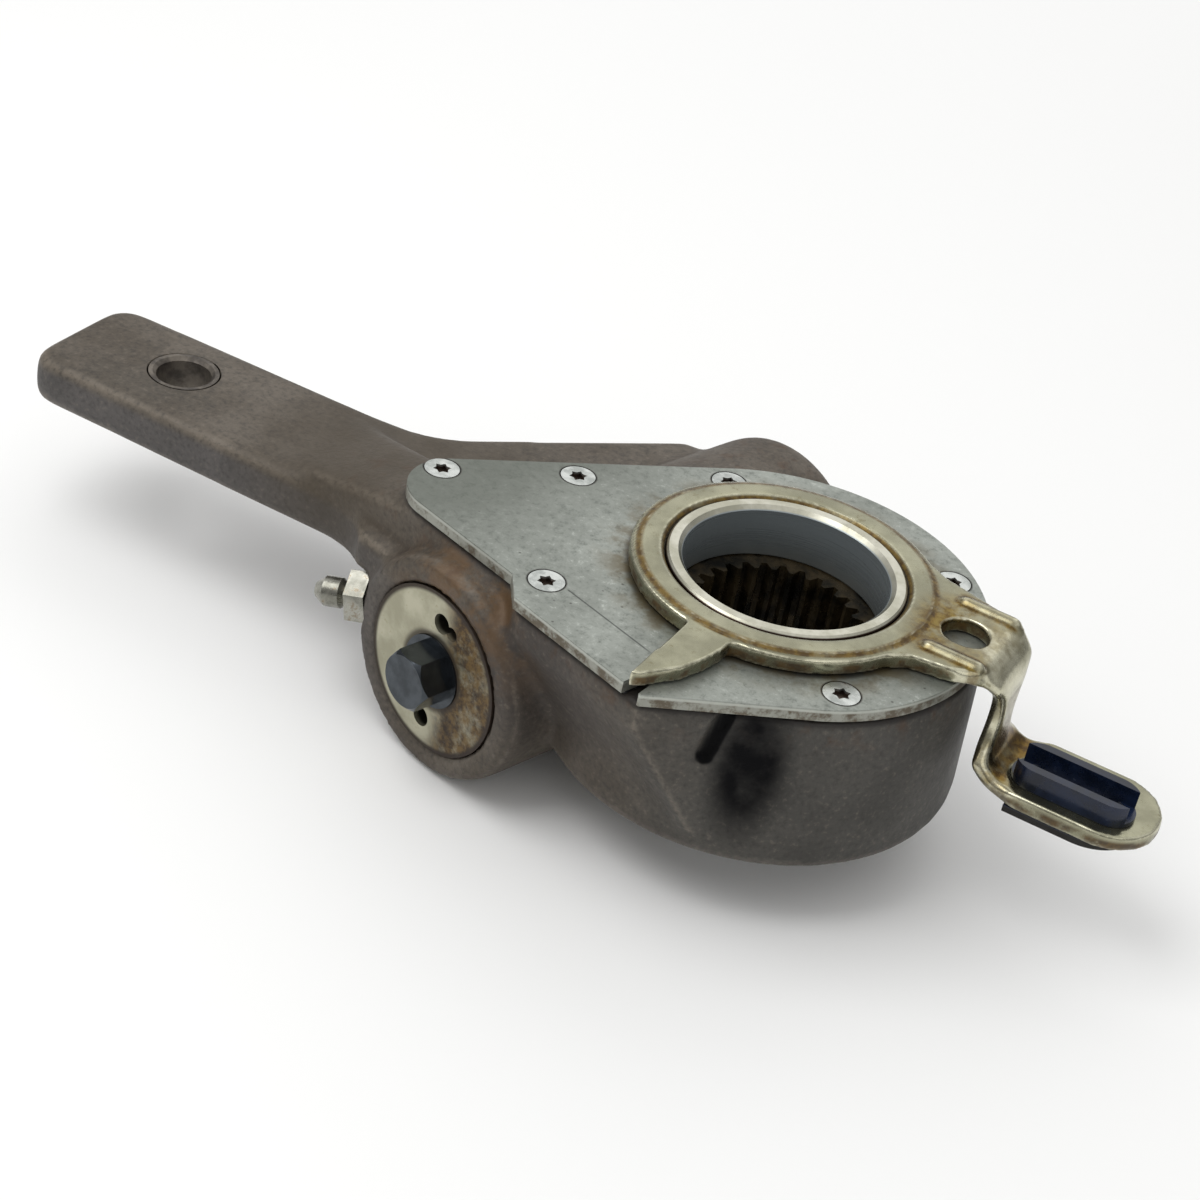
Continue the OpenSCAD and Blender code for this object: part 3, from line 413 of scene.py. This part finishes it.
# %%
ARM_VOXEL = 0.5 * MM
ARM_FULL_WEAR = 0.3 * MM
BEND_START = (41 * MM, 46 * MM)
BEND_END = (55 * MM, 61 * MM)
BEND_ROUNDS = 45
RIB_END_X = 49 * MM
RIB_SIDE = (1.7 * MM, 2.8 * MM)
EDGE_WEIGHT = 0.8
EDGE_ROUNDS = 7


def ramp(values, low, high):
    """A smooth rise from 0 at low to 1 at high."""
    share = np.clip((values - low) / (high - low), 0, 1)
    return share * share * (3 - 2 * share)


arm = even_mesh("control_arm", "pressed_arm", ARM_VOXEL)
spots = points_of(arm)
bent = ramp(spots[:, 0], *BEND_START) * (1 - ramp(spots[:, 0], *BEND_END))
off_ribs = np.min([np.abs(spots[:, 1] - rib) for rib in RIB_Y], axis=0)
ribbed = (spots[:, 2] > SHEET_TOP - 1 * MM) & (spots[:, 0] < RIB_END_X)
bent[ribbed] *= ramp(off_ribs[ribbed], *RIB_SIDE)
flowing = relax(spots, edges_of(arm), bent, BEND_ROUNDS)
rolled = relax(flowing, edges_of(arm), np.full(len(spots), EDGE_WEIGHT), EDGE_ROUNDS)
settle(arm, spots, rolled, ARM_FULL_WEAR)
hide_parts("control_arm")
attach(arm, "control")
print("pressed arm:", len(arm.data.polygons), "faces")

# %% [markdown]
# ## Plated, ground and moulded finishes
# Each finish is named for its real material. Rust and dirt gather where the photograph shows them: round the
# ring's groove, beside the ribs and at the foot of the bend.

# %%
def zinc_plate():
    """Die-cast zinc: fine grey mottling, dark specks, a scribed line, dirt and painted shadow by the ring, worn
    edges with a painted highlight.
    """
    p = Paint("die-cast zinc, tarnished")
    fine = p.cloud(1.8, 6.0, 0.8)
    reach = p.beyond(ALONG)
    level = p.beyond(UP, PLATE_TOP)
    ring = p.from_point(AXIS, IN_PLAN)
    pits = add(p.tree, "ShaderNodeTexVoronoi", {"Vector": p.place, "Scale": 1 / (5 * MM)}, "Distance")
    p.tone = p.tones((p.cloud(16), *SOFT), "#868a83", "#979b94")
    p.lay("#676c66", (fine, 0.5, 0.7, (0.0, 0.8)))
    p.lay("#b4b8b1", (fine, 0.28, 0.45, (0.8, 0.0)))
    p.lay("#3a3733", (pits, 0.03, 0.08, (0.7, 0.0)))
    p.lay("#5f635b", (reach, -62 * MM, -30 * MM, (0.85, 0.0)))

    # The upper edge is rubbed bright and carries a painted highlight, and the side below it is worn and dirty.
    p.lay("#b9bbb2", (level, -0.5 * MM, -0.1 * MM, (0.75, 0.0)))
    side = p.tones((p.cloud(4, 5.0, 0.7), 0.42, 0.6), "#93948b", "#5f574a")
    p.lay(side, (level, -1.1 * MM, -0.6 * MM, FALL))

    past_line = p.beyond(TO_HEX, SCRIBE_D)
    off_line = add(p.tree, "ShaderNodeMath", {0: past_line}, operation="ABSOLUTE")
    p.lay("#3d3f3c", (off_line, 0.12 * MM, 0.28 * MM, (0.8, 0.0)),
          (reach, -20.2 * MM, -19.8 * MM), (reach, 2 * MM, 6 * MM, FALL))
    for spot in SCREWS:
        away = p.from_point(spot, IN_PLAN)
        p.lay("#2a2621", (away, 3.4 * MM, 3.7 * MM), (away, 4.0 * MM, 4.4 * MM, (0.9, 0.0)))

    # Painted shadow of the control arm's ring in a dark gap beside it, and brown grime round the ring.
    p.lay("#2f2a22", (ring, 32.8 * MM, 34.2 * MM, (0.75, 0.0)))
    p.lay("#5d5238", (ring, 33 * MM, 42 * MM, (0.8, 0.0)), (p.cloud(8), 0.42, 0.62))
    return p.finish(0.65, p.where((fine, *WIDE, (0.34, 0.52))), fine, 0.05)


def plated_sheet():
    """Pressed steel with yellowed plating, golden in its hollows and rusting at its edges."""
    p = Paint("yellow-plated sheet steel, rusting")
    ring = p.from_point(AXIS, IN_PLAN)
    level = p.beyond(UP)
    far = p.beyond(TO_FOOT)
    side = p.beyond(ACROSS)
    specks = p.cloud(2.2, 6.0, 0.7)
    blots = p.cloud(6, 6.0, 0.65)
    worn = add(p.tree, "ShaderNodeAttribute", None, "Fac", attribute_name="worn")
    hollow = add(p.tree, "ShaderNodeAttribute", None, "Fac", attribute_name="hollow")
    p.tone = p.tones((p.cloud(10), *SOFT), "#85836e", "#9c9a83")
    p.lay("#6a6040", (specks, 0.56, 0.72, (0.0, 0.6)))

    # Golden brown on the web, at the start of the foot, between ring and arm and beside the ribs.
    web = p.where((level, 19.5 * MM, 24 * MM), (level, 34 * MM, 41 * MM, FALL))
    foot_start = p.where((far, 54 * MM, 64 * MM, (0.9, 0.0)), (level, 21 * MM, 30 * MM, FALL))
    root = p.where((p.from_point(RING_ROOT, (1, 0.55, 1)), 3 * MM, 10 * MM, FALL))
    upper = p.where((p.from_point(ARM_FLAT, (1, 0.6, 1)), 4 * MM, 12 * MM, (0.55, 0.0)))
    golden = p.any_of(p.where(web, 0.4), foot_start, root, upper)
    for rib in RIB_Y:
        past_rib = p.beyond(ACROSS, rib)
        away = add(p.tree, "ShaderNodeMath", {0: past_rib}, operation="ABSOLUTE")
        beside = p.where((away, 1.2 * MM, 1.8 * MM), (away, 2 * MM, 4 * MM, FALL),
                         (far, 31 * MM, 34 * MM), (far, 45 * MM, 49 * MM, FALL))
        golden = p.any_of(golden, beside)
    p.lay(p.tones((specks, *EVEN), "#7d6a36", "#5f4a20"), golden, (blots, 0.3, 0.58, (0.25, 1.0)))

    # Brown in the ring's outer groove and at its inner edge, and a dark line against the hub.
    on_ring = p.where((level, 39.5 * MM, 40.5 * MM))
    outer = p.where((ring, 30.0 * MM, 30.8 * MM), (ring, 31.3 * MM, 31.9 * MM, FALL))
    inner = p.where((ring, 26.1 * MM, 26.7 * MM, FALL))
    brown = p.where(p.any_of(outer, inner), on_ring, (blots, 0.3, 0.5, (0.55, 1.0)))
    p.lay(p.tones((specks, *EVEN), "#6f5a26", "#4d3a17"), brown)
    p.lay("#2a1b13", (ring, 25.6 * MM, 25.9 * MM, FALL), on_ring)

    # Rust on the cut edges of the ring, the bend and the foot.
    upper_edge = p.where((level, SHEET_TOP - 1.6 * MM, SHEET_TOP - 0.8 * MM, FALL), (level, 37 * MM, 39 * MM),
                         (far, 41 * MM, 44 * MM, FALL))
    near_edge = p.where((side, -5.5 * MM, -3 * MM, FALL), (far, 44 * MM, 46 * MM), web)
    low_edge = p.where((level, 17.2 * MM, 18.2 * MM, FALL))
    rust = p.where(p.any_of(upper_edge, low_edge, near_edge), (blots, 0.4, 0.58, (0.0, 0.9)))
    p.lay(p.tones((specks, *EVEN), "#3d2c18", "#5a431f"), rust)

    # Corners hold rust, and the edges get a painted highlight.
    p.lay(p.tones((specks, *EVEN), "#6f5726", "#47341a"),
          (hollow, 0.05, 0.35), (blots, 0.3, 0.55, (0.4, 0.95)))
    p.lay("#d3d0b8", (worn, 0.1, 0.45), (blots, 0.4, 0.65, (0.85, 0.2)))
    dull = p.any_of(rust, p.where(brown, 0.7))
    gloss = p.where((specks, *WIDE, (0.18, 0.3)))
    rough = add(p.tree, "ShaderNodeMath", {0: dull, 1: 0.3, 2: gloss}, operation="MULTIPLY_ADD")
    metallic = add(p.tree, "ShaderNodeMath", {0: dull, 1: -0.6, 2: 0.95}, operation="MULTIPLY_ADD")
    return p.finish(metallic, rough, specks, 0.035)


def bright_steel():
    """Turned steel: pale rim with fine rings, a blue-grey bore with painted shade lower down, and a dark brown
    groove outside.
    """
    p = Paint("turned bright steel")
    rings = p.cloud(0.8, 2.0, 0.5, (0.02, 0.02, 1.0))
    ring = p.from_point(AXIS, IN_PLAN)
    p.tone = p.tones((p.cloud(7, 5.0, 0.65), *SOFT), "#a9a796", "#c6c4b6")
    p.lay("#6f6249", (p.cloud(3, 6.0, 0.7), 0.6, 0.75, (0.0, 0.5)))
    # The bore's wall: painted shade, darker towards its bottom and paler towards its mouth.
    wall = p.where((ring, 21.95 * MM, 22.2 * MM, FALL))
    p.lay(p.tones((p.beyond(UP), 27 * MM, 43 * MM), "#5a5c58", "#90989b"), wall)
    p.lay("#2a1b13", (ring, 25.1 * MM, 25.3 * MM))
    metallic = p.where((wall, *RISE, (0.9, 0.5)))
    return p.finish(metallic, p.where((rings, *WIDE, (0.24, 0.36))), rings, 0.02)


def worm_cover_steel():
    """Grey-cream zinc, rusted brown on one side, dirty round its rim and the hexagon, and painted shade in its
    holes.
    """
    p = Paint("zinc-plated steel, half rusted")
    specks = p.cloud(2, 6.0, 0.7)
    from_middle = p.from_point(WORM_POINT + BOSS_NEAR * TO_HEX)
    p.tone = p.tones((p.cloud(8), *SOFT), "#9a9782", "#b5b29d")
    p.lay("#77704f", (specks, 0.58, 0.72, (0.0, 0.5)))
    patch = p.where((p.beyond(ALONG, WORM_A), -0.5 * MM, 6.5 * MM),
                    (p.cloud(6, 7.0, 0.72), 0.3, 0.55, (0.35, 1.0)))
    p.lay(p.tones((specks, *SOFT), "#33261a", "#6a542f"), patch)
    p.lay("#2a1f17", (from_middle, 17.6 * MM, 18.6 * MM, (0.0, 0.95)))
    p.lay("#33291f", (from_middle, 8.6 * MM, 10.0 * MM, (0.85, 0.0)))
    # Painted shade at the bottom of the spanner holes.
    p.lay("#1c1711", (p.beyond(TO_HEX, BOSS_NEAR), -1.6 * MM, -0.4 * MM, (0.9, 0.0)))
    rough = add(p.tree, "ShaderNodeMath", {0: patch, 1: 0.3, 2: 0.34}, operation="MULTIPLY_ADD")
    metallic = add(p.tree, "ShaderNodeMath", {0: patch, 1: -0.6, 2: 0.8}, operation="MULTIPLY_ADD")
    return p.finish(metallic, rough, specks, 0.12)


def nipple_zinc():
    """Bright zinc with rust in spots."""
    p = Paint("zinc-plated nipple steel")
    p.tone = p.tones((p.cloud(5, 4.0), *SOFT), "#77766d", "#a09f96")
    p.lay("#6b5433", (p.cloud(2.5, 6.0, 0.7), 0.54, 0.68, (0.0, 0.7)))
    return p.finish(0.9, p.where((p.cloud(2, 4.0), *WIDE, (0.2, 0.36))), p.cloud(1.5, 4.0), 0.04)


def black_plastic():
    """Glossy nylon with a blue sheen, dull and in painted shade under the foot."""
    p = Paint("glossy black nylon")
    ripple = p.cloud(3, 3.0)
    p.tone = p.tones((p.cloud(6), *SOFT), "#0b1220", "#141f36")
    # Painted shade on the flange under the foot.
    under = p.where((p.beyond(UP), 15.0 * MM, 15.6 * MM, FALL))
    p.lay("#15130f", under)
    gloss = p.where((ripple, *WIDE, (0.14, 0.28)))
    rough = add(p.tree, "ShaderNodeMath", {0: under, 1: 0.4, 2: gloss}, operation="MULTIPLY_ADD")
    return p.finish(0.0, rough, ripple, 0.03, 0.4)


def screw_steel():
    """Zinc-plated heads with dark dirt in their star recesses."""
    p = Paint("zinc-plated screw steel")
    p.tone = p.tones((p.cloud(3), *SOFT), "#9ea29e", "#c8cbc7")
    p.lay("#4d382a", (p.beyond(UP, PLATE_TOP), -0.7 * MM, -0.3 * MM, (0.9, 0.0)))
    return p.finish(0.9, p.where((p.cloud(2, 4.0), *WIDE, (0.24, 0.4))), p.cloud(1, 3.0), 0.03)


def plain(name, dark, light, size_mm, metallic, rough, depth_mm=0.05):
    """A finish with one cloudy tone, a finer change of gloss and a finer bump."""
    p = Paint(name)
    p.tone = p.tones((p.cloud(size_mm), *SOFT), dark, light)
    shine = p.where((p.cloud(size_mm / 3, 3.0), *WIDE, rough))
    return p.finish(metallic, shine, p.cloud(size_mm / 4, 3.0), depth_mm)


finishes = {
    "zinc_plate": zinc_plate(),
    "plated_sheet": plated_sheet(),
    "bright_steel": bright_steel(),
    "cover_steel": worm_cover_steel(),
    "bush_steel": plain("worn bush steel", "#4d4843", "#746d64", 4, 0.7, (0.4, 0.6)),
    "seal_rubber": plain("black seal rubber", "#161617", "#232325", 5, 0.0, (0.55, 0.75)),
    "screw_steel": screw_steel(),
    "plug_steel": plain("dull plug steel", "#514c47", "#6d6862", 6, 0.7, (0.4, 0.6)),
    "spring_steel": plain("oiled spring steel", "#2c2b2a", "#4c4a48", 5, 0.9, (0.3, 0.45)),
    "nipple_zinc": nipple_zinc(),
    "black_plastic": black_plastic(),
    "inner_steel": plain("machined gear steel", "#6d6a64", "#8d8a84", 5, 0.9, (0.3, 0.45)),
    "greasy_steel": plain("greased spline steel", "#17150f", "#4a3f2c", 6, 0.6, (0.22, 0.5), 0.1),
    "black_oxide": plain("blue-black oxide steel", "#3b3f43", "#4d5257", 5, 0.9, (0.16, 0.26), 0.02),
}
slots = {s["node"]: s["material_slot"] for s in frame["record"]["subparts"]}
for name, thing in {**nodes, "control_arm": arm}.items():
    if name == "housing":
        continue
    thing.data.materials.clear()
    thing.data.materials.append(finishes[slots[name]])
print("finishes:", len(finishes) + 1)

# %% [markdown]
# ## Broken edges
# Metal and moulded plastic keep no knife edge. The pieces whose edges show get a small bevel of their own
# width.

# %%
BEVELS_MM = {
    "cover_plate": 0.6,
    "control_hub": 0.25,
    "worm_cover": 0.4,
    "adjuster_shaft": 0.45,
    "slot_liner": 0.7,
    "grease_nipple": 0.3,
    "clevis_bush": 0.25,
    "cover_screws": 0.12,
}
SHARP = math.radians(35)
for name, width in BEVELS_MM.items():
    bevel = nodes[name].modifiers.new("broken edge", "BEVEL")
    bevel.width = width * MM
    bevel.segments = 2
    bevel.limit_method = "ANGLE"
    bevel.angle_limit = SHARP
    bevel.harden_normals = True
print("bevelled pieces:", len(BEVELS_MM))

# %% [markdown]
# ## Studio
# A pale floor under the part, a soft light from above left, a weaker one from the right, a large one from
# behind and a sky that is brighter overhead.

# %%
FLOOR_SIZE = 24.0
PART_MIDDLE = (0, 0, 0.02)
ARM_SIDE = (-0.03, 0, 0.02)
SKY_LOW = 0.28
SKY_HIGH = 0.85


def floor(size):
    """A pale square for the part to lie on."""
    half = size / 2
    mesh = bpy.data.meshes.new("floor")
    corners = [(-half, -half, FLOOR_Z), (half, -half, FLOOR_Z), (half, half, FLOOR_Z), (-half, half, FLOOR_Z)]
    mesh.from_pydata(corners, [], [(0, 1, 2, 3)])
    thing = bpy.data.objects.new("floor", mesh)
    bpy.context.scene.collection.objects.link(thing)
    thing.data.materials.append(Paint("pale studio floor", "#f4f4f3").finish(0.0, 0.9))


def softbox(name, spot, target, size, watts):
    """A square area light that faces a point."""
    light = bpy.data.lights.new(name, "AREA")
    light.size = size
    light.energy = watts
    thing = bpy.data.objects.new(name, light)
    thing.location = spot
    thing.rotation_euler = (Vector(target) - Vector(spot)).to_track_quat("-Z", "Y").to_euler()
    bpy.context.scene.collection.objects.link(thing)


floor(FLOOR_SIZE)
softbox("key", (-0.35, -0.25, 0.75), ARM_SIDE, 0.6, 3.2)
softbox("fill", (0.7, -0.5, 0.5), PART_MIDDLE, 0.6, 0.8)
softbox("back", (-0.25, 0.8, 0.6), PART_MIDDLE, 1.0, 2.0)
world = bpy.data.worlds.new("studio sky")
world.use_nodes = True
sky = world.node_tree
direction = add(sky, "ShaderNodeTexCoord", output="Generated")
rise = add(sky, "ShaderNodeSeparateXYZ", {0: direction}, "Z")
glow = {"Value": rise, "From Min": 0.0, "From Max": 1.0, "To Min": SKY_LOW, "To Max": SKY_HIGH}
strength = add(sky, "ShaderNodeMapRange", glow, interpolation_type="SMOOTHSTEP")
sky.nodes["Background"].inputs["Color"].default_value = linear("#ffffff")
sky.links.new(strength, sky.nodes["Background"].inputs["Strength"])
bpy.context.scene.world = world
print("lights: 3, and a sky that is brighter overhead")

# %% [markdown]
# ## Camera
# The place and turn were fitted to the photograph's outlines, with a lens of 75 mm on a 36 mm sensor.

# %%
camera = bpy.data.objects.new("camera", bpy.data.cameras.new("camera"))
camera.data.lens = 75
camera.data.sensor_width = 36
camera.data.clip_start = 0.01
camera.location = (0.13648, -0.41626, 0.31628)
camera.rotation_mode = "QUATERNION"
camera.rotation_quaternion = Quaternion((0.84169, 0.47047, 0.04699, 0.26077))
bpy.context.scene.collection.objects.link(camera)
bpy.context.scene.camera = camera
bpy.context.scene.view_settings.view_transform = "Standard"
